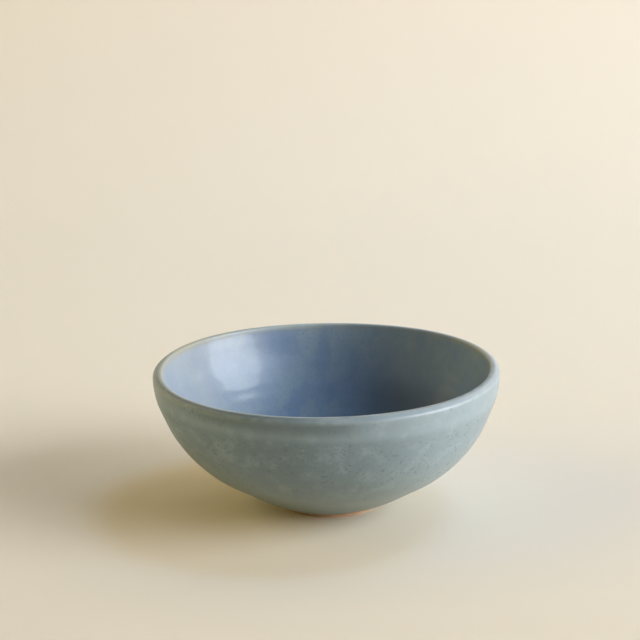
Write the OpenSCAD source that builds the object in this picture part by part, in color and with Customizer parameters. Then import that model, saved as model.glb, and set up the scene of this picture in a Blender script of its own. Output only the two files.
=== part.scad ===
// Hand-thrown stoneware prep bowl: a small foot, walls that open wide and come
// up nearly upright, and a soft bevelled lip. The clay body carries two coats of
// satin glaze, one inside and one outside, which meet on the crown of the lip.
// The bowl stands on z = 0 with its axis on Z. Lengths are in millimetres.

/* [Bowl] */
// Width across the glazed wall just below the lip
rim_d = 150; // [120:1:180]
// Height from the table to the glazed crown of the lip
bowl_h = 61.2; // [50:0.1:75]

/* [Clay body] */
// Thickness of the clay wall at the lip
wall_t = 3.5; // [2.8:0.1:4.5]
// Thickness of the clay at the middle of the floor, above the recess
floor_t = 4.6; // [3.5:0.1:6]

/* [Lip] */
// Fall of the outer bevel, from the crown of the lip to its outer corner
lip_drop = 1.4; // [0.8:0.1:2.2]
// Width of the crown, on its outer side, that is smoothed into the bevel
crown_round = 1; // [0.6:0.1:1.4]
// Length each side of the outer corner that is smoothed round
corner_round = 0.5; // [0.2:0.1:0.7]

/* [Foot] */
// Width across the foot ring where it stands
foot_d = 44; // [36:1:56]
// Width of the foot ring's underside, with its two rounded edges
foot_ring_w = 4.8; // [3.5:0.1:7]
// Depth of the turned recess inside the foot ring
recess_depth = 2; // [1.4:0.1:3]
// Length each side of a foot corner that is smoothed round
foot_round = 0.6; // [0.3:0.1:0.9]

/* [Glaze] */
// Thickness of each coat of glaze
glaze_t = 0.4; // [0.25:0.05:0.6]
// Height of bare clay from the table to where the outer coat starts
bare_h = 2; // [1.6:0.1:3]

/* [Hidden] */

$fn = 144;
wall_steps = 36;
corner_steps = 4;

// The clay without its glaze
clay_r = rim_d / 2 - glaze_t;
clay_h = bowl_h - glaze_t;
inner_r = clay_r - wall_t;
foot_r = foot_d / 2;
ring_inner_r = foot_r - foot_ring_w;
floor_z = recess_depth + floor_t;

// The crown lies nearer the inside of the wall, so the bevel is the wider side
crown_share = 0.76;
bevel_w = wall_t * crown_share;
inner_round = wall_t - bevel_w;

// The foot leans out a little on its way up to the glaze line, and the
// recess is cut with a sloping side
foot_lean = bare_h / 6;
recess_slope = recess_depth / 2;

// Corners and ends of the section, as [radius, height]
ring_inner = [ring_inner_r, 0];
ring_outer = [foot_r, 0];
glaze_line = [foot_r + foot_lean, bare_h];
lip_outer = [clay_r, clay_h - lip_drop];
wall_top = lip_outer - [0, corner_round];
crown = [clay_r - bevel_w, clay_h];
crown_outer = crown + [crown_round, 0];
crown_inner = [inner_r, clay_h];
inner_top = crown_inner - [0, inner_round];
floor_middle = [0, floor_z];
recess_middle = [0, recess_depth];
recess_edge = [ring_inner_r - recess_slope, recess_depth];

// Control points of the outer wall, as shares of the way from the glaze line
// to the top of the wall
outer_wall_shares = [[0, 0], [0.18, 0.04], [0.545, 0.235], [0.85, 0.36], [0.992, 0.81], [1, 1]];
// Control points of the inner wall, as shares of the way from the middle of
// the floor to the top of the inside
inner_wall_shares = [[1, 1], [0.985, 0.74], [0.9, 0.42], [0.64, 0.1], [0.35, 0], [0, 0]];

// Control points placed by their shares of the way from a to b
function placed(shares, a, b) =
    [for (s = shares) [a.x + s.x * (b.x - a.x), a.y + s.y * (b.y - a.y)]];

// Control points that round the corner c, between a and b, over a length each side
function rounded(a, c, b, reach) =
    [c + (a - c) * reach / norm(a - c), c, c + (b - c) * reach / norm(b - c)];

// Point at t along the Bezier curve with control points c
function bezier(c, t) =
    len(c) == 1 ? c[0] : bezier([for (i = [0 : len(c) - 2]) c[i] * (1 - t) + c[i + 1] * t], t);

// Points along a curve, from its step a to its step b out of all its steps
function run(c, a, b, steps) = [for (i = [a : b]) bezier(c, i / steps)];

// The next three lists follow the clay from the middle of the recess, out and
// up to the crown, and down inside to the middle of the floor
underside = concat(
    [recess_middle],
    run(rounded(recess_middle, recess_edge, ring_inner, foot_round), 0, corner_steps, corner_steps),
    run(rounded(recess_edge, ring_inner, ring_outer, foot_round), 0, corner_steps, corner_steps),
    run(rounded(ring_inner, ring_outer, glaze_line, foot_round), 0, corner_steps, corner_steps)
);
outside = concat(
    run(placed(outer_wall_shares, glaze_line, wall_top), 0, wall_steps - 1, wall_steps),
    run(rounded(wall_top, lip_outer, crown_outer, corner_round), 0, corner_steps, corner_steps),
    run(rounded(lip_outer, crown_outer, crown, crown_round), 0, corner_steps, corner_steps)
);
inside = concat(
    run(rounded(crown, crown_inner, inner_top, inner_round), 1, corner_steps, corner_steps),
    run(placed(inner_wall_shares, floor_middle, inner_top), 1, wall_steps, wall_steps)
);

// The glazed side of the clay, and the same run carried out by the glaze
glazed = concat(outside, inside);
crown_i = len(outside) - 1;
floor_i = len(glazed) - 1;

// Direction away from the clay at point i. The floor is level on the axis.
function away(i) =
    let (behind = glazed[max(i - 1, 0)],
         ahead = i < floor_i ? glazed[i + 1] : [-behind.x, behind.y],
         along = (ahead - behind) / norm(ahead - behind))
    [along.y, -along.x];

module turned(points) {
    rotate_extrude() polygon(points);
}

// Coat of glaze on the clay, from point a to point b of the glazed side
module coat(a, b) {
    turned(concat(
        [for (i = [a : b]) glazed[i]],
        [for (i = [b : -1 : a]) glazed[i] + away(i) * glaze_t]
    ));
}

// Fired stoneware, thrown and trimmed in one piece with its foot
module clay_body() {
    color("peru") turned(concat(underside, glazed));
}

// Poured coat inside, from the crown of the lip to the middle of the floor
module liner_glaze() {
    color("slategray") coat(crown_i, floor_i);
}

// Dipped coat outside, from the glaze line up to the crown of the lip
module outer_glaze() {
    color("lightslategray") coat(0, crown_i);
}

clay_body();
liner_glaze();
outer_glaze();
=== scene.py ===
"""Hand-thrown stoneware prep bowl: the fired clay with its bare trimmed foot, and the
two coats of satin blue-grey glaze that meet on the crown of its lip.

Each piece is a turned section, a run of radius and height, swept round the Z axis
on a grid of rows along the section and columns round the bowl.
"""

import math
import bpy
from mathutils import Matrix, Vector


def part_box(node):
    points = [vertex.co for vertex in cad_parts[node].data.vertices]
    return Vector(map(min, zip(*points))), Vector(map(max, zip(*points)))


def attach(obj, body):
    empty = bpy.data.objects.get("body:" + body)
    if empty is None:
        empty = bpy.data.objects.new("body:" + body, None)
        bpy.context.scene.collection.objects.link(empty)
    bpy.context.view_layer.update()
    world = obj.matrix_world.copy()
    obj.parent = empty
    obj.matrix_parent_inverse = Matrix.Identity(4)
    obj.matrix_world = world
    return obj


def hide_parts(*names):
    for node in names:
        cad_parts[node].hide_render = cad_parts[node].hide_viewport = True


bl_info = {
    "name": "Thrown Prep Bowl",
    "version": (1, 0, 0),
    "blender": (4, 5, 0),
    "location": "3D View > Sidebar > Prep Bowl",
    "description": "Makes a hand-thrown stoneware prep bowl with satin blue-grey glaze",
    "category": "Add Mesh",
}

import bpy
import numpy as np
from bpy.props import FloatProperty, FloatVectorProperty, IntProperty, PointerProperty
from mathutils import Vector

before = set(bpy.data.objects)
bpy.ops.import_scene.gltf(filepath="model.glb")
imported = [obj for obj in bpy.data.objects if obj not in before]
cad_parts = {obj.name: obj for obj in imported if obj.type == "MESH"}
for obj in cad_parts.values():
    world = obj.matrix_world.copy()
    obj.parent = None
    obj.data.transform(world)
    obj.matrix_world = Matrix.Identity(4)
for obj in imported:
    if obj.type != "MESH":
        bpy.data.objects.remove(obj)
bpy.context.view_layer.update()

MM = 0.001

# Control points of the outer wall, as shares of the way from the glaze line to the
# top of the wall
OUTER_WALL_SHARES = [[0, 0], [0.18, 0.04], [0.545, 0.235], [0.85, 0.36], [0.992, 0.81], [1, 1]]
# Control points of the inner wall, as shares of the way from the middle of the floor
# to the top of the inside
INNER_WALL_SHARES = [[1, 1], [0.985, 0.74], [0.9, 0.42], [0.64, 0.1], [0.35, 0], [0, 0]]
# The crown lies nearer the inside of the wall, so the bevel is the wider side
CROWN_SHARE = 0.76
# Rise over run of the foot's outer side, and of the recess's side
FOOT_SLOPE, RECESS_SLOPE = 6, 2

# Mesh attributes of the two coats that say how the glaze breaks on the lip, and where painted shade
# darkens its inner edge at the right
BREAK_NAMES = ("thin", "bared_and_shade", "pale", "tan")

# Too small a radius for any point to lie in a pit, in metres
NO_PIT = 1e-9
# How much less glaze stays where it breaks thin on the bevel
THIN_LOSS = 0.06 * MM

# Steps along each curve of a section before its rows are spread
CURVE_STEPS = 400
# Columns of each mesh round the bowl
CLAY_COLUMNS, OUTER_COLUMNS, LINER_COLUMNS = 400, 700, 600
# Faces that meet at a larger angle keep a sharp edge
SHARP_ANGLE = math.radians(50)

# Steps from the bowl's seed to the first seeds of the lip's glaze and of the pits
LIP_SEED, PIT_SEED = 3, 4


def linear(hex_colour):
    """The linear colour that a shader takes, from an sRGB hex value."""
    channels = [int(hex_colour[i : i + 2], 16) / 255 for i in (0, 2, 4)]
    return [c / 12.92 if c <= 0.04045 else ((c + 0.055) / 1.055) ** 2.4 for c in channels]


def length(name, description, default):
    """A length that a user can change, in metres."""
    return FloatProperty(
        name=name, description=description, default=default, min=0, precision=5, unit="LENGTH"
    )


def angle(name, description, default):
    """An angle that a user can change, given here in degrees."""
    return FloatProperty(
        name=name, description=description, default=math.radians(default), unit="ROTATION"
    )


def power(name, description, default):
    """The power of a light that a user can change, in watts."""
    return FloatProperty(name=name, description=description, default=default, unit="POWER")


def colour(name, description, default):
    """A colour that a user can change, given here as an sRGB hex value."""
    return FloatVectorProperty(
        name=name,
        description=description,
        default=linear(default),
        size=3,
        min=0,
        max=1,
        subtype="COLOR",
    )


class BowlSizes(bpy.types.PropertyGroup):
    """Sizes of the clay and its glaze, which the frame gives where it can"""

    rim_radius: length(
        "Rim radius", "Radius of the glazed wall just below the lip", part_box("outer_glaze")[1].x
    )
    height: length(
        "Height", "Height of the glazed crown of the lip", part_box("outer_glaze")[1].z
    )
    glaze: length(
        "Glaze",
        "Thickness of each coat of glaze",
        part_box("outer_glaze")[1].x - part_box("clay_body")[1].x,
    )
    floor_level: length(
        "Floor level", "Height of the clay at the middle of the floor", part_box("liner_glaze")[0].z
    )
    wall: length("Wall", "Thickness of the clay wall at the lip", 3.5 * MM)
    lip_drop: length("Lip drop", "Fall of the lip's bevel to its outer corner", 1.4 * MM)
    crown_round: length("Crown round", "Width of crown smoothed into the bevel", 1 * MM)
    corner_round: length("Corner round", "Length smoothed each side of the outer corner", 0.5 * MM)
    foot_radius: length("Foot radius", "Radius of the foot ring where it stands", 22 * MM)
    foot_ring: length("Foot ring", "Width of the foot ring's underside", 4.8 * MM)
    recess: length("Recess", "Depth of the turned recess inside the foot ring", 2 * MM)
    foot_round: length("Foot round", "Length smoothed each side of a foot corner", 0.6 * MM)
    bare: length("Bare clay", "Height of bare clay up to where the glaze starts", 2 * MM)


class BowlThrowing(bpy.types.PropertyGroup):
    """The small unevenness that hands, the wheel and the kiln leave"""

    lean: angle("Lean", "How far the wall leans and the rim is out of level", 1)
    rim_sway: length("Rim sway", "Height of the two-lobed wave of the rim", 0.22 * MM)
    rim_ripple: length("Rim ripple", "Height of the three-lobed wave of the rim", 0.3 * MM)
    swell: length("Swell", "Height of the broad ridge below the lip", 0.25 * MM)
    belly: length("Belly", "Extra fullness of the middle wall", 0.15 * MM)
    waist: length("Waist", "How much the turning tool took off above the foot", 0.65 * MM)
    groove: length("Groove", "Depth of the groove just under the lip", 0.06 * MM)
    thickening: length("Thickening", "How much the wall thickens inside below the lip", 1 * MM)
    finger_ring: length("Finger ring", "Depth of the rings that fingers left inside", 0.03 * MM)
    turning_ring: length("Turning ring", "Depth of the rings left by the turning tool", 0.05 * MM)
    pit_depth: length("Pit depth", "Depth of the largest pits in the outer glaze", 0.2 * MM)
    line_wander: length("Line wander", "How far the glaze line wanders up the foot", 0.4 * MM)
    seed: IntProperty(name="Seed", description="Seed of every random place", default=7)


class BowlColours(bpy.types.PropertyGroup):
    """Colours of the glaze and the clay, and of the painted light and shade on the glaze"""

    outside: colour("Outside", "Main colour of the outer glaze", "728792")
    # Also carries painted shade: a dark band under the lip, strongest across the middle and faint
    # on the right
    outside_dark_and_shade: colour("Outside dark", "Outer glaze that lies thin, as under the lip", "60737b")
    # Also carries painted light: the outer glaze is made paler towards the right, where the window
    # lights it
    outside_pale_and_lit: colour("Outside pale", "Outer glaze that lies thick, as on the right", "9aafbd")
    outside_low: colour("Outside low", "Greener outer glaze towards the foot", "76857d")
    inside: colour("Inside", "Main colour of the inner glaze", "879dae")
    # Also carries painted shade: the inner glaze is made darker on the right, most low down, where
    # the rim shades it
    inside_dark_and_shade: colour("Inside dark", "Inner glaze in its drifts and on the right", "607ca7")
    # Painted shade: the darkest shade low on the far right inside
    inside_deep_shade: colour("Inside deep", "Inner glaze pooled low on the right", "3a4c62")
    # Also carries painted light: the inner glaze is made paler towards the left, where the window
    # lights the inside
    inside_pale_and_lit: colour("Inside pale", "Inner glaze that lies thick, as on the left", "98a3aa")
    broken: colour("Broken glaze", "Pale thin glaze on the bevel of the lip", "95a6b0")
    # Also carries painted shade on the inner edge of the crown at the right, which faces away from
    # the window
    bared_and_shade: colour("Bared glaze", "Slate-dark glaze that has run almost to nothing", "4b5358")
    rim_pale: colour("Rim pale", "Pale glaze on the crown at the front, and behind", "aac1cc")
    rim_tan: colour("Rim tan", "Thin glaze on the rounding inside the crown", "979b87")
    speck: colour("Speck", "Iron specks and the floor of the pits", "42494b")
    clay: colour("Clay", "Bare stoneware", "bfa286")
    clay_dark: colour("Clay dark", "Toasted stoneware and its iron specks", "a07a5a")
    clay_pale: colour("Clay pale", "Pale grains in the stoneware", "d0b394")


class BowlStudio(bpy.types.PropertyGroup):
    """Camera, paper sweep and soft lights"""

    view_pitch: angle("View pitch", "How far the camera looks down", 15.4)
    view_distance: length("View distance", "From the camera to the point it looks at", 975.3 * MM)
    view_height: length("View height", "Height of the point it looks at", 82.1 * MM)
    view_side: FloatProperty(
        name="View side",
        description="How far to the right of the bowl's axis the camera stands",
        default=-3.68 * MM,
        unit="LENGTH",
    )
    lens: FloatProperty(
        name="Lens", description="Focal length of the camera", default=85, unit="CAMERA"
    )
    sensor: FloatProperty(
        name="Sensor", description="Width of the camera's frame", default=24, unit="CAMERA"
    )
    light_distance: length("Light distance", "From the bowl to the lights round it", 3000 * MM)
    window_power: power("Window power", "Power of the window on the right", 119)
    sky_power: power("Sky power", "Power of the small light high in front of the window", 10)
    wall_power: power("Wall power", "Power of the warm light on the left", 64)
    sill_power: power("Sill power", "Power of the warm light low under the window", 46)
    paper_power: power("Paper power", "Power of the light on the paper behind", 2.2)
    paper: colour("Paper", "Seamless paper under and behind the bowl", "e8e2d4")


def bezier(controls, t):
    """Bezier curve at t: each control point times its Bernstein weight, summed."""
    degree = len(controls) - 1
    weights = [math.comb(degree, k) * t**k * (1 - t) ** (degree - k) for k in range(degree + 1)]
    return np.stack(weights, axis=1) @ np.asarray(controls, float)


def placed(shares, start, end):
    """Control points at their shares of the way from start to end, in radius and height."""
    return start + np.array(shares) * (end - start)


def corner(before, tip, after, reach):
    """Three control points that round a tip over one reach along each of its sides."""
    back, ahead = before - tip, after - tip
    return [tip + back * reach / np.hypot(*back), tip, tip + ahead * reach / np.hypot(*ahead)]


class Section:
    """A run of the turned section: radius and height against the length along it.

    It is made of Bezier curves joined end to end. Its away direction is the run's own
    direction turned a quarter clockwise, which points from the clay to the air.
    """

    def __init__(self, *curves):
        steps = np.linspace(0, 1, CURVE_STEPS)
        joined = [bezier(curve, steps) for curve in curves]
        points = np.concatenate([joined[0]] + [part[1:] for part in joined[1:]])
        self.arc = np.concatenate([[0], np.cumsum(np.hypot(*np.diff(points, axis=0).T))])
        along = np.gradient(points, self.arc, axis=0)
        along /= np.hypot(*along.T)[:, None]
        self.radius, self.height = points.T
        self.out, self.up = along[:, 1], -along[:, 0]
        self.length = self.arc[-1]

    def at(self, arc, offset=0.0):
        """Radius and height at a length along the run, carried away by the offset."""
        radius, height, out, up = (
            np.interp(arc, self.arc, values)
            for values in (self.radius, self.height, self.out, self.up)
        )
        return radius + out * offset, height + up * offset

    def arc_at_height(self, height):
        """Length along a run that only rises or only falls, at a height."""
        order = np.argsort(self.height, kind="stable")
        return np.interp(height, self.height[order], self.arc[order])

    def rows(self, *spacing):
        """Lengths along the run for the rows of a grid.

        Each spacing is a place along the run and the gap between rows there, and the
        gap runs evenly from one place to the next. The count of rows up to a point is
        the integral of one over the gap.
        """
        places, gaps = zip(*spacing)
        density = 1 / np.interp(self.arc, places, gaps)
        steps = np.diff(self.arc) * (density[1:] + density[:-1]) / 2
        count = np.concatenate([[0], np.cumsum(steps)])
        return np.interp(np.linspace(0, count[-1], round(count[-1]) + 1), count, self.arc)


def bowl_sections(sizes):
    """The underside, outside and inside of the clay, each a run away from the last.

    The underside goes from the middle of the recess to the glaze line, the outside
    from there to the crown of the lip, and the inside from the crown to the middle of
    the floor.
    """
    clay_radius = sizes.rim_radius - sizes.glaze
    clay_height = sizes.height - sizes.glaze
    inner_radius = clay_radius - sizes.wall
    bevel = sizes.wall * CROWN_SHARE
    inner_round = sizes.wall - bevel
    ring_inner = np.array([sizes.foot_radius - sizes.foot_ring, 0])
    ring_outer = np.array([sizes.foot_radius, 0])
    glaze_line = ring_outer + [sizes.bare / FOOT_SLOPE, sizes.bare]
    lip_outer = np.array([clay_radius, clay_height - sizes.lip_drop])
    wall_top = lip_outer - [0, sizes.corner_round]
    crown = np.array([clay_radius - bevel, clay_height])
    crown_outer = crown + [sizes.crown_round, 0]
    crown_inner = np.array([inner_radius, clay_height])
    inner_top = crown_inner - [0, inner_round]
    floor_middle = np.array([0, sizes.floor_level])
    recess_middle = np.array([0, sizes.recess])
    recess_edge = ring_inner + [-sizes.recess / RECESS_SLOPE, sizes.recess]

    step_round = corner(recess_middle, recess_edge, ring_inner, sizes.foot_round)
    inner_edge = corner(recess_edge, ring_inner, ring_outer, sizes.foot_round)
    outer_edge = corner(ring_inner, ring_outer, glaze_line, sizes.foot_round)
    underside = Section(
        [recess_middle, step_round[0]],
        step_round,
        [step_round[-1], inner_edge[0]],
        inner_edge,
        [inner_edge[-1], outer_edge[0]],
        outer_edge,
        [outer_edge[-1], glaze_line],
    )
    lip_corner = corner(wall_top, lip_outer, crown_outer, sizes.corner_round)
    crown_corner = corner(lip_outer, crown_outer, crown, sizes.crown_round)
    outside = Section(
        placed(OUTER_WALL_SHARES, glaze_line, wall_top),
        lip_corner,
        [lip_corner[-1], crown_corner[0]],
        crown_corner,
    )
    inside = Section(
        corner(crown, crown_inner, inner_top, inner_round),
        placed(INNER_WALL_SHARES, floor_middle, inner_top),
    )
    return underside, outside, inside


def smooth(value, low, high):
    """Runs smoothly from 0 at low to 1 at high: three squares less two cubes."""
    t = np.clip((value - low) / (high - low), 0, 1)
    return t * t * (3 - 2 * t)


def bell(value, centre, spread):
    """A bell, 1 at its centre: e to the minus square of the way from it over the spread."""
    return np.exp(-(((value - centre) / spread) ** 2))


def facing(turn, degrees):
    """How far a place round the bowl faces an angle: 1 there and -1 opposite to it."""
    return np.cos(turn - math.radians(degrees))


def circle(columns):
    """Angles of a mesh's columns round the bowl, from +X counterclockwise."""
    return np.linspace(0, 2 * math.pi, columns, endpoint=False)


def round_bowl(radius, height, turn):
    """Points at a radius and height, turned round the Z axis."""
    height = np.broadcast_to(height, np.broadcast_shapes(height.shape, turn.shape))
    return np.stack([radius * np.cos(turn), radius * np.sin(turn), height], axis=-1)


def hoop(radius, turn):
    """Points of a level circle, for random fields that run round the bowl."""
    return round_bowl(np.full_like(turn, radius), np.zeros_like(turn), turn)


def cloud(points, size, seed, waves=40):
    """A smooth random field of about unit spread.

    It is the sum of cosines along random directions, whose wavelengths scatter
    about the size, so it has no seam round the bowl.
    """
    rng = np.random.default_rng(seed)
    directions = rng.normal(size=(waves, 3))
    directions /= np.linalg.norm(directions, axis=1)[:, None]
    lengths = size * rng.uniform(0.6, 1.7, waves)
    starts = rng.uniform(0, 2 * math.pi, waves)
    total = np.zeros(points.shape[:-1])
    for direction, wavelength, start in zip(directions, lengths, starts):
        total += np.cos(points @ direction * (2 * math.pi / wavelength) + start)
    return total / math.sqrt(waves / 2)


def thrown(points, sizes, throwing):
    """Carries points with the unevenness of the whole bowl.

    The wall leans to the left, so each level is shifted by the lean times its height.
    The rim is out of level by the same angle, and its height also wanders in two and
    three lobes round the bowl. A level takes a share of that, which grows with a power
    of its height from none at the glaze line to all at the crown, so the foot is flat.
    """
    growth = 1.4
    x, y, z = np.moveaxis(points, -1, 0)
    turn = np.arctan2(y, x)
    wave = throwing.lean * x
    wave += throwing.rim_sway * facing(2 * turn, -32)
    wave += throwing.rim_ripple * facing(3 * turn, 82)
    rise = np.clip((z - sizes.bare) / (sizes.height - sizes.bare), 0, None) ** growth
    return np.stack([x - throwing.lean * z, y, z + rise * wave], axis=-1)


def outer_relief(height, throwing):
    """How far the outside stands proud of its section, at a height.

    A bell-shaped ridge goes round below the lip, with a groove above it and a hollow
    half as deep under it. The middle of the wall is a little full, and it is a little
    lean above the foot.
    """
    ridge = bell(height, 51 * MM, 5 * MM)
    hollow = bell(height, 42 * MM, 4.5 * MM) / 2
    fade = 1 - smooth(height, 57 * MM, 59.8 * MM)
    full = smooth(height, 10 * MM, 20 * MM) * (1 - smooth(height, 34 * MM, 46 * MM))
    waist = bell(height, 11.5 * MM, 5.5 * MM) * smooth(height, 2 * MM, 5 * MM)
    groove = bell(height, 55.5 * MM, 1.8 * MM)
    return (
        throwing.swell * (ridge - hollow) * fade
        + throwing.belly * full
        - throwing.waist * waist
        - throwing.groove * groove
    )


def inner_relief(arc, turn, throwing):
    """How far the inside stands proud of its section, along it from the crown.

    The wall thickens in two steps below the lip and is back on its section further
    down. Fingers drawn up the turning wall leave one spiral, so the wave goes round
    the bowl as it goes down, one pitch a turn. It fades out near the lip.
    """
    pitch = 6.5 * MM
    spiral = np.cos(arc * (2 * math.pi / pitch) + turn)
    thick = 0.6 * smooth(arc, 0, 8 * MM) + 0.4 * smooth(arc, 5 * MM, 20 * MM)
    thick = thick * (1 - smooth(arc, 26 * MM, 50 * MM))
    rings = throwing.finger_ring * spiral * smooth(arc, 3 * MM, 16 * MM)
    return rings + throwing.thickening * thick


def lip_breaks(arc, turn, sizes, seed):
    """How the glaze breaks on the lip, by the length in from the crown.

    Four masks from 0 to 1, each a place along the section times a place round the
    bowl, which random fields break up.
    Thin glaze pales all over the bevel, most at the front, and fades down the wall.
    Glaze that has run almost to nothing leaves a dark line on the bevel at the left, and
    painted shade darkens the inner edge at the right, which faces away from the window.
    Pale glaze lies on the crown at the front, and over the whole lip behind.
    Tan glaze lies on the rounding inside the crown, except at the front.
    """
    ring = hoop(sizes.rim_radius, turn)
    broken = cloud(ring, 6 * MM, seed + 1)
    around = (turn + math.pi) % (2 * math.pi) - math.pi
    rear = bell(around, math.radians(104), math.radians(17))
    right_rear = bell(around, math.radians(17), math.radians(20))
    left = smooth(facing(turn, 172), -0.15, 0.35)
    front = -np.sin(turn)

    # The bevel's outer corner lies this far out from the crown
    edge = -(sizes.wall * CROWN_SHARE + 0.3 * MM)
    bevel = smooth(arc, edge - 1.5 * MM, edge + 0.2 * MM) * (1 - smooth(arc, -1.6 * MM, 0.4 * MM))
    share = 0.6 - 0.1 * facing(turn, -30) + 0.3 * smooth(facing(turn, -82), 0.5, 0.95)
    share = np.clip(share + 0.12 * cloud(ring, 30 * MM, seed), 0, 1)
    spots = 0.2 * bell(arc, edge, 0.4 * MM) * np.clip(broken - 0.5, 0, 1)
    thin = bevel * share * (0.85 + 0.12 * broken) + spots

    left_share = left * (0.35 + 0.45 * smooth(front, -0.1, 0.5)) * (1 - rear)
    right_share = 0.65 * smooth(facing(turn, -40), 0.2, 0.8)
    on_bevel = bell(arc, -1.3 * MM, 0.4 * MM) * left_share
    # Painted shade: a dark line on the inner edge of the crown at the right, which faces away from
    # the window
    crown_shade = bell(arc, -0.2 * MM, 0.45 * MM) * right_share
    bared_and_shade = (on_bevel + crown_shade) * np.clip(0.8 + 0.25 * broken, 0.3, 1)

    crown = smooth(arc, -0.8 * MM, -0.2 * MM) * (1 - smooth(arc, 0.3 * MM, 0.9 * MM))
    whole = smooth(arc, -2.2 * MM, -1.2 * MM) * (1 - smooth(arc, 1 * MM, 2.6 * MM))
    near = smooth(front, -0.1, 0.5) * (1 - smooth(np.cos(turn), 0.3, 0.9))
    pale = crown * near * (0.5 + 0.15 * cloud(ring, 20 * MM, seed + 2)) + 0.85 * whole * rear

    inner = smooth(arc, -0.6 * MM, 0.4 * MM) * (1 - smooth(arc, 0.8 * MM, 3.6 * MM))
    share = 0.2 + 0.6 * smooth(-np.cos(turn), 0.35, 0.85) + 0.42 * right_rear + 0.3 * rear
    tan = inner * np.clip(share + 0.08 * broken, 0, 1) * (1 - smooth(front, 0.1, 0.5))
    return np.clip([thin, bared_and_shade, pale, tan], 0, 1)


def pitting(section, arc, turn, seed):
    """Pits that gas left in the glaze, from 0 on the level glaze to 1 at a pit's floor.

    The surface is cut in cells along the run and round the bowl, and each cell may
    hold one pit at a random place. A pit is one less the square of the distance over
    its radius, squared, and each is stretched along the run or round the bowl. Random
    fields bend the surface, so that no pit is quite round. Each point looks at its own
    cell and the eight around it.
    Pits crowd in a band at mid height, in clusters that a random field sets.
    """
    cell = 1.5 * MM
    rng = np.random.default_rng(seed)
    down = int(section.length / cell) + 1
    around = int(2 * math.pi * section.radius.max() / cell)
    shape = (down, around)
    pit_arc = (np.arange(down)[:, None] + rng.uniform(0.1, 0.9, shape)) * cell
    pit_turn = (np.arange(around) + rng.uniform(0.1, 0.9, shape)) * (2 * math.pi / around)
    pit_radius, pit_height = section.at(pit_arc)
    centres = round_bowl(pit_radius, pit_height, pit_turn)
    band = smooth(pit_height, 20 * MM, 30 * MM) * (1 - smooth(pit_height, 46 * MM, 53 * MM))
    crowd = cloud(centres, 13 * MM, seed + 1) + 0.6 * cloud(centres, 5 * MM, seed + 2)
    chance = 0.01 + band * np.clip(0.2 + 0.2 * crowd, 0, 0.7)
    # Cells that are narrow because they lie near the foot hold pits less often
    chance *= pit_radius / section.radius.max()
    reach = rng.uniform(0.3, 0.8, shape) ** 1.3 * MM
    reach[rng.uniform(size=shape) > chance] = NO_PIT
    stretch = rng.uniform(0.7, 1.6, shape)

    radius, height = section.at(arc)
    points = round_bowl(radius, height, turn)
    arc = arc + 0.18 * MM * cloud(points, 1.5 * MM, seed + 3)
    turn = (turn + 0.22 * MM / radius * cloud(points, 1.5 * MM, seed + 4)) % (2 * math.pi)
    row = np.floor(arc / cell).astype(int)
    column = np.floor(turn * around / (2 * math.pi)).astype(int)
    depth = np.zeros(np.broadcast_shapes(arc.shape, turn.shape))
    for row_step in (-1, 0, 1):
        for column_step in (-1, 0, 1):
            at = np.clip(row + row_step, 0, down - 1), (column + column_step) % around
            across = (turn - pit_turn[at] + math.pi) % (2 * math.pi) - math.pi
            across = across * radius / stretch[at]
            distance = ((arc - pit_arc[at]) ** 2 + across**2) / reach[at] ** 2
            depth = np.maximum(depth, np.clip(1 - distance, 0, None) ** 2)
    return depth


def turned_mesh(name, rows, fields=None, poles=()):
    """A closed mesh from rows of points, each row a ring round the Z axis.

    Quads join each ring to the next. With two poles a fan of triangles closes each
    end, and without them the last ring joins the first, so that the rows are a loop.
    Fields are point values of the same grid, kept as attributes of the mesh.
    """
    count, columns = rows.shape[:2]
    number = np.arange(count * columns).reshape(count, columns)
    first = number[:-1] if poles else number
    second = number[1:] if poles else np.roll(number, -1, axis=0)
    quads = np.stack(
        [first, np.roll(first, -1, axis=1), np.roll(second, -1, axis=1), second], axis=-1
    ).reshape(-1, 4)
    points = rows.reshape(-1, 3)
    fans = []
    if poles:
        points = np.concatenate([points, poles])
        start = np.full(columns, len(points) - 2)
        end = start + 1
        fans = [
            np.stack([start, np.roll(number[0], -1), number[0]], axis=-1),
            np.stack([end, number[-1], np.roll(number[-1], -1)], axis=-1),
        ]
    corners = np.concatenate([quads.ravel()] + [fan.ravel() for fan in fans])
    sides = np.concatenate([np.full(len(quads), 4)] + [np.full(len(fan), 3) for fan in fans])
    mesh = bpy.data.meshes.new(name)
    mesh.vertices.add(len(points))
    mesh.vertices.foreach_set("co", points.astype(np.float32).ravel())
    mesh.loops.add(len(corners))
    mesh.loops.foreach_set("vertex_index", corners.astype(np.int32))
    mesh.polygons.add(len(sides))
    starts = np.concatenate([[0], np.cumsum(sides)[:-1]])
    mesh.polygons.foreach_set("loop_start", starts.astype(np.int32))
    mesh.update(calc_edges=True)
    mesh.shade_smooth()
    mesh.set_sharp_from_angle(angle=SHARP_ANGLE)
    for field, values in (fields or {}).items():
        stored = mesh.attributes.new(field, "FLOAT", "POINT")
        padded = np.concatenate([values.ravel(), np.zeros(len(points) - values.size)])
        stored.data.foreach_set("value", padded.astype(np.float32))
    return mesh


def add_piece(mesh, node, material):
    """Stands a mesh in the place of a node of the frame, with its material."""
    piece = bpy.data.objects.new(mesh.name, mesh)
    bpy.context.scene.collection.objects.link(piece)
    mesh.materials.append(material)
    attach(piece, "root")
    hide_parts(node)


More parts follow.
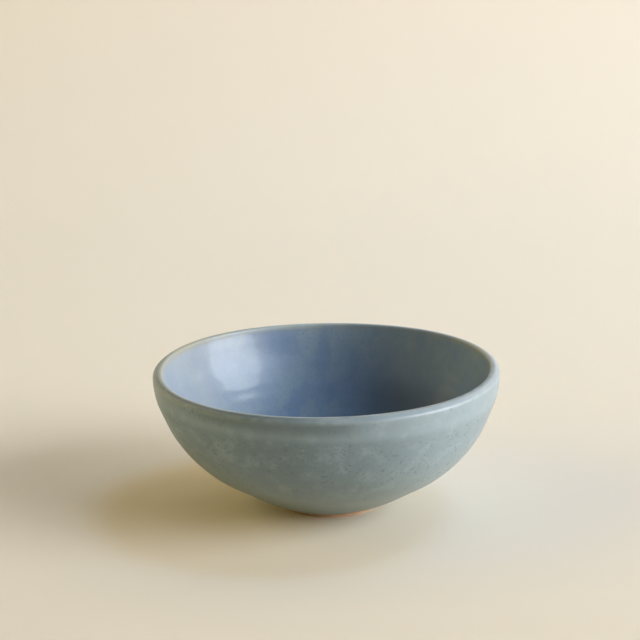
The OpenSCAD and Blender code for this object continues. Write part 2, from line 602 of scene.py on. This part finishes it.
def add(tree, kind, sockets=None, **settings):
    """Adds a node to a tree with its settings, and gives each named or numbered socket
    a value or a link from another node's output."""
    node = tree.nodes.new("ShaderNode" + kind)
    for name, value in settings.items():
        setattr(node, name, value)
    for name, value in (sockets or {}).items():
        if isinstance(value, bpy.types.NodeSocket):
            tree.links.new(value, node.inputs[name])
        else:
            node.inputs[name].default_value = value
    return node


def new_material(name):
    """An empty material, its node tree and its output node."""
    material = bpy.data.materials.new(name)
    material.use_nodes = True
    tree = material.node_tree
    tree.nodes.clear()
    return material, tree, add(tree, "OutputMaterial")


def opaque(rgb):
    """A colour with full alpha, as a colour socket takes it."""
    return (*rgb, 1.0)


def position(tree):
    """The place on the object, and its separate X, Y and Z."""
    place = add(tree, "TexCoord").outputs["Object"]
    return place, add(tree, "SeparateXYZ", {0: place}).outputs


def attribute(tree, name):
    """A value that the mesh keeps at its points."""
    return add(tree, "Attribute", attribute_name=name).outputs["Fac"]


def ramp(tree, value, low, high, start=0.0, end=1.0, kind="SMOOTHSTEP"):
    """Runs from start to end while the value goes from low to high, and stays there."""
    sockets = {0: value, 1: low, 2: high, 3: start, 4: end}
    return add(tree, "MapRange", sockets, interpolation_type=kind).outputs[0]


def maths(tree, operation, first, second):
    """The result of one operation on two values."""
    return add(tree, "Math", {0: first, 1: second}, operation=operation).outputs[0]


def times(tree, first, second):
    """The product of two values."""
    return maths(tree, "MULTIPLY", first, second)


def blend(tree, factor, first, second):
    """The first colour with a share of the second laid over it."""
    sockets = {0: factor, 6: first, 7: opaque(second)}
    return add(tree, "Mix", sockets, data_type="RGBA").outputs[2]


def noise(tree, place, size, detail=2.0, output="Fac"):
    """Soft random values, or colours, whose patches are about one size across."""
    sockets = {"Vector": place, "Scale": 1 / size, "Detail": detail}
    return add(tree, "TexNoise", sockets).outputs[output]


def upright(tree, place, squash):
    """The place with its height squashed, which draws a texture out into upright marks."""
    return add(tree, "Mapping", {"Vector": place, "Scale": (1, 1, squash)}).outputs[0]


def dots(tree, place, spacing, share, smallest, largest):
    """Scattered round dots, 1 inside and 0 outside with a soft edge.

    One dot may lie in each cell of a scattered grid. The share is that of the cells
    that hold one, and the sizes are radii.
    """
    cells = add(tree, "TexVoronoi", {"Vector": place, "Scale": 1 / spacing})
    pick = add(tree, "SeparateColor", {0: cells.outputs["Color"]})
    sizes = smallest / spacing, largest / spacing
    reach = ramp(tree, pick.outputs[1], 0.0, 1.0, *sizes, kind="LINEAR")
    inside = ramp(tree, maths(tree, "DIVIDE", cells.outputs["Distance"], reach), 0.7, 1.1, 1.0, 0.0)
    chosen = maths(tree, "LESS_THAN", pick.outputs[0], share)
    return times(tree, chosen, inside)


def glaze_ground(tree, place, main, dark, pale):
    """The cloudy ground of a glaze: a little darker where it is thin, paler where thick.

    Gives the colour, and the three sizes of random values that made it.
    """
    patches = noise(tree, place, 32 * MM)
    clouds = noise(tree, place, 6 * MM, 5.0)
    grain = noise(tree, place, 0.9 * MM)
    surface = blend(tree, ramp(tree, patches, 0.35, 0.65, 0.4, 0.0), opaque(main), dark)
    surface = blend(tree, ramp(tree, clouds, 0.45, 0.72, 0.0, 0.32), surface, pale)
    surface = blend(tree, ramp(tree, grain, 0.5, 0.7, 0.0, 0.35), surface, dark)
    return surface, patches, clouds, grain


def fired_glaze(tree, output, place, surface, clouds, bumps, coat, colours):
    """Specks, the colours of the lip and the satin face, which both glazes have.

    The coat is the share of the face that is smooth enough to mirror the window. Where
    the glaze breaks thin it is nearly matte.
    """
    specks = dots(tree, place, spacing=6 * MM, share=0.3, smallest=0.12 * MM, largest=0.36 * MM)
    surface = blend(tree, times(tree, specks, 0.8), surface, colours.speck)
    breaks = (colours.broken, colours.bared_and_shade, colours.rim_pale, colours.rim_tan)
    cloudy = ramp(tree, clouds, 0.35, 0.6, 0.7, 1.0)
    for name, rgb in zip(BREAK_NAMES, breaks):
        surface = blend(tree, times(tree, attribute(tree, name), cloudy), surface, rgb)
    coat = times(tree, coat, ramp(tree, attribute(tree, "thin"), 0.1, 0.6, 1.0, 0.1))
    bump = add(tree, "Bump", {"Height": bumps, "Distance": 0.1 * MM, "Strength": 1.0})
    face = {"Base Color": surface, "Roughness": 0.4, "IOR": 1.58, "Normal": bump.outputs[0]}
    gloss = {"Coat Weight": coat, "Coat Roughness": 0.1, "Coat Normal": bump.outputs[0]}
    shader = add(tree, "BsdfPrincipled", {**face, **gloss})
    tree.links.new(shader.outputs[0], output.inputs[0])


def outer_satin_glaze(colours):
    """Satin reduction-fired glaze, dipped over iron-bearing stoneware.

    The eye sees a soft sheen on a cloudy blue-grey, greener toward the foot, with painted
    light that makes it paler on the right. Under the lip lies a pale band and then a band
    of painted shade with fine upright streaks. Dark pinholes and pits crowd round the
    middle, and the glaze breaks pale and nearly matte over the bevel of the lip.
    """
    material, tree, output = new_material("Outer Satin Glaze")
    place, axes = position(tree)
    side, height = axes["X"], axes["Z"]
    surface, patches, clouds, grain = glaze_ground(
        tree, place, colours.outside, colours.outside_dark_and_shade, colours.outside_pale_and_lit
    )
    low = ramp(tree, height, 6 * MM, 42 * MM, 0.8, 0.0)
    surface = blend(tree, low, surface, colours.outside_low)
    upper = ramp(tree, height, 49 * MM, 53 * MM, 0.0, 0.3)
    surface = blend(tree, upper, surface, colours.outside_pale_and_lit)
    # Painted light: paler towards the right, where the window lights the wall
    thick = ramp(tree, side, 8 * MM, 48 * MM, 0.0, 0.36)
    surface = blend(tree, thick, surface, colours.outside_pale_and_lit)

    # Painted shade: a dark band under the lip, strongest across the middle, weaker at the far left
    # and faint on the right, where the window lights the wall
    left = ramp(tree, side, 3 * MM, 18 * MM, 1.0, 0.1)
    under_lip = times(tree, ramp(tree, height, 52 * MM, 57 * MM), left)
    shade = times(tree, under_lip, ramp(tree, side, -66 * MM, -45 * MM, 0.2, 0.8))
    surface = blend(tree, shade, surface, colours.outside_dark_and_shade)
    streaks = ramp(tree, noise(tree, upright(tree, place, 0.28), 1.1 * MM, 1.0), 0.55, 0.72)
    streaks = times(tree, streaks, ramp(tree, patches, 0.48, 0.6, 0.1, 0.6))
    surface = blend(tree, times(tree, streaks, under_lip), surface, colours.speck)

    above = ramp(tree, height, 44 * MM, 53 * MM, 1.0, 0.08)
    band = times(tree, ramp(tree, height, 17 * MM, 28 * MM), above)
    crowd = times(tree, band, ramp(tree, clouds, 0.38, 0.62, 0.35, 1.0))
    jitter = noise(tree, place, 0.7 * MM, 1.0, output="Color")
    wander = add(tree, "VectorMath", {0: jitter, "Scale": 0.9 * MM}, operation="SCALE").outputs[0]
    bent = add(tree, "VectorMath", {0: place, 1: wander}).outputs[0]
    holes = dots(tree, bent, spacing=1.2 * MM, share=0.6, smallest=0.1 * MM, largest=0.36 * MM)
    pinholes = times(tree, holes, crowd)
    surface = blend(tree, times(tree, pinholes, 0.85), surface, colours.speck)
    surface = blend(tree, times(tree, attribute(tree, "pit"), 0.55), surface, colours.speck)

    bumps = maths(tree, "SUBTRACT", times(tree, grain, 0.15), pinholes)
    # The coat is glossiest, in patches, where it begins to thin
    thinning = ramp(tree, attribute(tree, "thin"), 0.1, 0.6)
    glossy = times(tree, thinning, ramp(tree, noise(tree, place, 4 * MM), 0.4, 0.6, 0.2))
    coat = ramp(tree, glossy, 0.0, 1.0, 0.1, 0.9)
    fired_glaze(tree, output, place, surface, clouds, bumps, coat, colours)
    return material


def liner_satin_glaze(colours):
    """The same glaze poured thicker inside, where it fires to a denim blue.

    The eye sees a smooth soft sheen, with painted light that makes it paler on the left
    and painted shade that makes it darker on the right and darkest low there, faint
    upright drifts where the coat ran down, and a few small dark specks.
    """
    coat = 0.27
    material, tree, output = new_material("Liner Satin Glaze")
    place, axes = position(tree)
    side, height = axes["X"], axes["Z"]
    surface, _, clouds, grain = glaze_ground(
        tree, place, colours.inside, colours.inside_dark_and_shade, colours.inside_pale_and_lit
    )
    drifts = ramp(tree, noise(tree, upright(tree, place, 0.35), 9 * MM), 0.45, 0.65, 0.0, 0.35)
    surface = blend(tree, drifts, surface, colours.inside_dark_and_shade)
    # Painted light: paler towards the left, where the window lights the inner wall
    thick = ramp(tree, side, -60 * MM, -18 * MM, 0.5, 0.0)
    surface = blend(tree, thick, surface, colours.inside_pale_and_lit)
    # Painted shade: darker on the right, most low down, where the right rim keeps the window off
    # the inside
    right = ramp(tree, side, -15 * MM, 30 * MM, 0.0, 0.9)
    shaded = times(tree, ramp(tree, height, 30 * MM, 58 * MM, 1.0, 0.25), right)
    surface = blend(tree, shaded, surface, colours.inside_dark_and_shade)
    # Painted shade: darkest low on the far right, where the rim shades the inside most
    far_right = ramp(tree, side, 8 * MM, 34 * MM)
    deep = times(tree, ramp(tree, height, 30 * MM, 44 * MM, 0.6, 0.0), far_right)
    surface = blend(tree, deep, surface, colours.inside_deep_shade)
    bumps = times(tree, grain, 0.05)
    fired_glaze(tree, output, place, surface, clouds, bumps, coat, colours)
    return material


def bare_stoneware(colours):
    """Unglazed iron-bearing stoneware, turned leather-hard and fired in reduction.

    The eye sees a dry toasted orange-brown with darker patches, and pale and dark
    grains of grog that the turning tool dragged to the surface.
    """
    material, tree, output = new_material("Bare Stoneware")
    place = add(tree, "TexCoord").outputs["Object"]
    toasted = ramp(tree, noise(tree, place, 9 * MM, 4.0), 0.4, 0.7, 0.0, 0.6, kind="LINEAR")
    surface = blend(tree, toasted, opaque(colours.clay), colours.clay_dark)
    grog = add(tree, "TexVoronoi", {"Vector": place, "Scale": 1 / (1.2 * MM)}).outputs
    pick = add(tree, "SeparateColor", {0: grog["Color"]}).outputs[0]
    near = ramp(tree, grog["Distance"], 0.42, 0.3, kind="LINEAR")
    for low, high, grain in ((0.86, 0.9, colours.clay_pale), (0.14, 0.1, colours.clay_dark)):
        chosen = ramp(tree, pick, low, high, kind="LINEAR")
        surface = blend(tree, times(tree, chosen, near), surface, grain)
    grit = noise(tree, place, 0.5 * MM)
    bump = add(tree, "Bump", {"Height": grit, "Distance": 0.08 * MM, "Strength": 0.8})
    face = {"Base Color": surface, "Roughness": 0.85, "IOR": 1.45, "Normal": bump.outputs[0]}
    shader = add(tree, "BsdfPrincipled", face)
    tree.links.new(shader.outputs[0], output.inputs[0])
    return material


def seamless_paper(colours):
    """Matte seamless paper: an even pale surface with no sheen."""
    material, tree, output = new_material("Seamless Paper")
    face = {"Base Color": opaque(colours.paper), "Roughness": 0.95}
    shader = add(tree, "BsdfPrincipled", face)
    tree.links.new(shader.outputs[0], output.inputs[0])
    return material


class BOWL_OT_studio(bpy.types.Operator):
    """Add the camera, the paper sweep and the soft lights"""

    bl_idname = "bowl.studio"
    bl_label = "Studio"
    bl_options = {"REGISTER", "UNDO"}

    def execute(self, context):
        studio = context.scene.bowl_studio
        self.add_camera(context.scene, studio)
        self.add_sweep(context.scene, studio)
        self.add_lights(context.scene, studio)
        context.scene.view_settings.view_transform = "Standard"
        return {"FINISHED"}

    def add_camera(self, scene, studio):
        """The camera looks down its pitch at a point above the bowl's foot."""
        data = bpy.data.cameras.new("Camera")
        data.lens, data.sensor_width = studio.lens, studio.sensor
        camera = bpy.data.objects.new("Camera", data)
        scene.collection.objects.link(camera)
        camera.location = (
            studio.view_side,
            -studio.view_distance * math.cos(studio.view_pitch),
            studio.view_height + studio.view_distance * math.sin(studio.view_pitch),
        )
        camera.rotation_euler = (math.pi / 2 - studio.view_pitch, 0, 0)
        scene.camera = camera

    def add_sweep(self, scene, studio):
        """Paper that lies flat, bends up in a quarter circle and hangs from there. Its
        lengths are in metres."""
        half_width, front, bend, cove, top = 3.0, -2.5, 0.45, 0.5, 2.4
        arc = np.linspace(0, math.pi / 2, 33)
        depth = np.concatenate([[front], bend + cove * np.sin(arc), [bend + cove]])
        height = np.concatenate([[0], cove * (1 - np.cos(arc)), [top]])
        side = np.array([-half_width, half_width])
        points = np.stack(np.broadcast_arrays(side, depth[:, None], height[:, None]), axis=-1)
        number = np.arange(len(depth) * 2).reshape(-1, 2)
        quads = np.stack(
            [number[:-1, 0], number[:-1, 1], number[1:, 1], number[1:, 0]], axis=-1
        )
        mesh = bpy.data.meshes.new("paper_sweep")
        mesh.from_pydata(points.reshape(-1, 3), [], quads.tolist())
        mesh.shade_smooth()
        mesh.materials.append(seamless_paper(studio))
        sweep = bpy.data.objects.new("paper_sweep", mesh)
        scene.collection.objects.link(sweep)

    def add_lights(self, scene, studio):
        """A soft window at the right front with warm light low under it and a little
        sky high in front of it, a warm wall on the left, and a little light on the
        paper behind. Each light has a turn to the front from +X and a rise, both in
        degrees, a distance from the bowl's foot, a width and height, a spread, the
        point that it faces, a power and a tint."""
        bowl, behind = (0, 0, 0), (0.1, 0.55, 0.01)
        room = studio.light_distance
        for name, turn, rise, distance, width, height, spread, aim, watts, tint in (
            ("Window", 13.5, 19, room, 2.35, 2.45, 180, bowl, studio.window_power, "f1f8ff"),
            ("Wall", 180, 25, room, 4.5, 2.7, 180, bowl, studio.wall_power, "ffe49e"),
            ("Sill", 12, 8, room, 2.3, 0.7, 180, bowl, studio.sill_power, "ffc468"),
            ("Sky", 38, 31, room, 1.3, 1.2, 180, bowl, studio.sky_power, "dde1f4"),
            ("Paper", -40, 60, 2.4, 1, 1, 55, behind, studio.paper_power, "98caff"),
        ):
            data = bpy.data.lights.new(name, "AREA")
            data.shape = "ELLIPSE"
            data.size, data.size_y = width, height
            data.spread = math.radians(spread)
            data.energy = watts
            data.color = linear(tint)
            light = bpy.data.objects.new(name, data)
            scene.collection.objects.link(light)
            turn, rise = math.radians(turn), math.radians(rise)
            level = Vector((math.cos(turn), -math.sin(turn), 0)) * math.cos(rise)
            light.location = (level + Vector((0, 0, math.sin(rise)))) * distance
            toward = Vector(aim) - light.location
            light.rotation_euler = toward.to_track_quat("-Z", "Y").to_euler()
            # The other lights stand for a room too dim and soft to show as a reflection
            light.visible_glossy = name in ("Window", "Sky")


class BOWL_OT_clay_body(bpy.types.Operator):
    """Add the fired clay, thrown and turned in one piece with its foot"""

    bl_idname = "bowl.clay_body"
    bl_label = "Clay Body"
    bl_options = {"REGISTER", "UNDO"}

    def execute(self, context):
        scene = context.scene
        sizes, throwing = scene.bowl_sizes, scene.bowl_throwing
        underside, outside, inside = bowl_sections(sizes)
        turn = circle(CLAY_COLUMNS)

        # The turning tool leaves one spiral, which grows and fades across the foot
        under_arc = underside.rows((0, 0.22 * MM), (underside.length, 0.16 * MM))[1:, None]
        radius, _ = underside.at(under_arc)
        rings = 0.5 - 0.5 * np.cos(radius * (2 * math.pi / (0.9 * MM)) + turn)
        rings = rings * (0.6 + 0.4 * np.cos(radius * (2 * math.pi / (5.3 * MM))))
        under = round_bowl(*underside.at(under_arc, -throwing.turning_ring * rings), turn)

        # Rows are close only at the lip, because glaze covers the rest of the clay
        lip = 6 * MM
        outer_arc = outside.rows(
            (0, 2.5 * MM), (outside.length - lip, 2.5 * MM), (outside.length, 0.3 * MM)
        )[1:, None]
        _, height = outside.at(outer_arc)
        outer = round_bowl(*outside.at(outer_arc, outer_relief(height, throwing)), turn)

        inner_arc = inside.rows(
            (0, 0.3 * MM), (lip, 2.2 * MM), (inside.length, 2.2 * MM)
        )[1:-1, None]
        inner = round_bowl(*inside.at(inner_arc, inner_relief(inner_arc, turn, throwing)), turn)

        rows = thrown(np.concatenate([under, outer, inner]), sizes, throwing)
        poles = [[0, 0, sizes.recess], [0, 0, sizes.floor_level - throwing.finger_ring]]
        mesh = turned_mesh("clay_body_thrown", rows, poles=poles)
        add_piece(mesh, "clay_body", bare_stoneware(scene.bowl_colours))
        return {"FINISHED"}


class BOWL_OT_outer_glaze(bpy.types.Operator):
    """Add the dipped coat outside, from the glaze line to the crown of the lip"""

    bl_idname = "bowl.outer_glaze"
    bl_label = "Outer Glaze"
    bl_options = {"REGISTER", "UNDO"}

    def execute(self, context):
        scene = context.scene
        sizes, throwing = scene.bowl_sizes, scene.bowl_throwing
        outside = bowl_sections(sizes)[1]
        turn = circle(OUTER_COLUMNS)

        # Rows are close at the glaze line, over the pits and at the lip
        up_to = outside.arc_at_height
        corner_arc = outside.length - sizes.wall * CROWN_SHARE - 0.4 * MM
        arc = outside.rows(
            (0, 0.12 * MM),
            (1.2 * MM, 0.25 * MM),
            (4 * MM, 1.8 * MM),
            (up_to(22 * MM), 1.6 * MM),
            (up_to(26 * MM), 0.52 * MM),
            (up_to(50 * MM), 0.52 * MM),
            (up_to(54 * MM), 0.9 * MM),
            (corner_arc - 1.5 * MM, 0.5 * MM),
            (corner_arc, 0.17 * MM),
            (outside.length, 0.12 * MM),
        )[:, None]
        foot_ring = hoop(sizes.foot_radius, turn)
        wander = np.clip(0.5 + 0.4 * cloud(foot_ring, 16 * MM, throwing.seed), 0, 1)
        arc = arc + throwing.line_wander * wander * (1 - smooth(arc, 0, 10 * MM))

        # The coat starts in a quarter round and swells to a bead just above its line
        _, height = outside.at(arc)
        relief = outer_relief(height, throwing)
        from_line = arc - arc[0]
        roll = np.sqrt(1 - np.clip(1 - from_line / (0.7 * MM), 0, 1) ** 2)
        bead = 1 + 0.5 * bell(from_line, 0.9 * MM, 0.6 * MM)
        breaks = lip_breaks(arc - outside.length, turn, sizes, throwing.seed + LIP_SEED)
        pit = pitting(outside, arc, turn, throwing.seed + PIT_SEED)
        skin = sizes.glaze * roll * bead - throwing.pit_depth * pit - THIN_LOSS * breaks[0]
        face = round_bowl(*outside.at(arc, relief + skin), turn)

        # Against the clay, few rows go back down from the crown to the glaze line
        hidden_arc = outside.rows((0, 9 * MM), (outside.length, 6 * MM))[:0:-1, None]
        _, hidden_height = outside.at(hidden_arc)
        hidden = round_bowl(*outside.at(hidden_arc, outer_relief(hidden_height, throwing)), turn)
        rows = np.concatenate([face, hidden])
        plain = np.zeros(hidden.shape[:2])
        fields = {"pit": np.concatenate([pit, plain])}
        for name, values in zip(BREAK_NAMES, breaks):
            fields[name] = np.concatenate([values, plain])
        mesh = turned_mesh("outer_glaze_dipped", thrown(rows, sizes, throwing), fields)
        add_piece(mesh, "outer_glaze", outer_satin_glaze(scene.bowl_colours))
        return {"FINISHED"}


class BOWL_OT_liner_glaze(bpy.types.Operator):
    """Add the poured coat inside, from the crown of the lip to the middle of the floor"""

    bl_idname = "bowl.liner_glaze"
    bl_label = "Liner Glaze"
    bl_options = {"REGISTER", "UNDO"}

    def execute(self, context):
        scene = context.scene
        sizes, throwing = scene.bowl_sizes, scene.bowl_throwing
        inside = bowl_sections(sizes)[2]
        turn = circle(LINER_COLUMNS)

        arc = inside.rows(
            (0, 0.1 * MM),
            (2 * MM, 0.2 * MM),
            (6 * MM, 0.6 * MM),
            (20 * MM, 0.9 * MM),
            (inside.length, 0.9 * MM),
        )[:-1, None]
        relief = inner_relief(arc, turn, throwing)
        breaks = lip_breaks(arc, turn, sizes, throwing.seed + LIP_SEED)
        face = round_bowl(*inside.at(arc, relief + sizes.glaze - THIN_LOSS * breaks[0]), turn)

        # Against the clay, few rows go down from the crown to the floor
        hidden_arc = inside.rows((0, 2 * MM), (inside.length, 5 * MM))[:-1, None]
        hidden_relief = inner_relief(hidden_arc, turn, throwing)
        hidden = round_bowl(*inside.at(hidden_arc, hidden_relief), turn)
        rows = np.concatenate([hidden[::-1], face])
        plain = np.zeros(hidden.shape[:2])
        fields = {
            name: np.concatenate([plain, values]) for name, values in zip(BREAK_NAMES, breaks)
        }
        low = sizes.floor_level - throwing.finger_ring
        poles = [[0, 0, low], [0, 0, low + sizes.glaze]]
        mesh = turned_mesh("liner_glaze_poured", thrown(rows, sizes, throwing), fields, poles)
        add_piece(mesh, "liner_glaze", liner_satin_glaze(scene.bowl_colours))
        return {"FINISHED"}


class BOWL_PT_panel(bpy.types.Panel):
    """Sizes, colours and pieces of the bowl"""

    bl_label = "Prep Bowl"
    bl_space_type = "VIEW_3D"
    bl_region_type = "UI"
    bl_category = "Prep Bowl"

    def draw(self, context):
        for operator in OPERATORS:
            self.layout.operator(operator.bl_idname)
        for pointer, group in GROUPS.items():
            box = self.layout.box()
            box.label(text=group.__doc__)
            for name in group.__annotations__:
                box.prop(getattr(context.scene, pointer), name)


GROUPS = {
    "bowl_sizes": BowlSizes,
    "bowl_throwing": BowlThrowing,
    "bowl_colours": BowlColours,
    "bowl_studio": BowlStudio,
}
OPERATORS = (BOWL_OT_studio, BOWL_OT_clay_body, BOWL_OT_outer_glaze, BOWL_OT_liner_glaze)
CLASSES = (*GROUPS.values(), *OPERATORS, BOWL_PT_panel)


def register():
    for cls in CLASSES:
        bpy.utils.register_class(cls)
    for pointer, group in GROUPS.items():
        setattr(bpy.types.Scene, pointer, PointerProperty(type=group))


def unregister():
    for pointer in GROUPS:
        delattr(bpy.types.Scene, pointer)
    for cls in reversed(CLASSES):
        bpy.utils.unregister_class(cls)


def main():
    """Makes the studio and every piece."""
    register()
    bpy.ops.bowl.studio()
    bpy.ops.bowl.clay_body()
    bpy.ops.bowl.outer_glaze()
    bpy.ops.bowl.liner_glaze()
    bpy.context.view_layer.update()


if __name__ == "__main__":
    main()
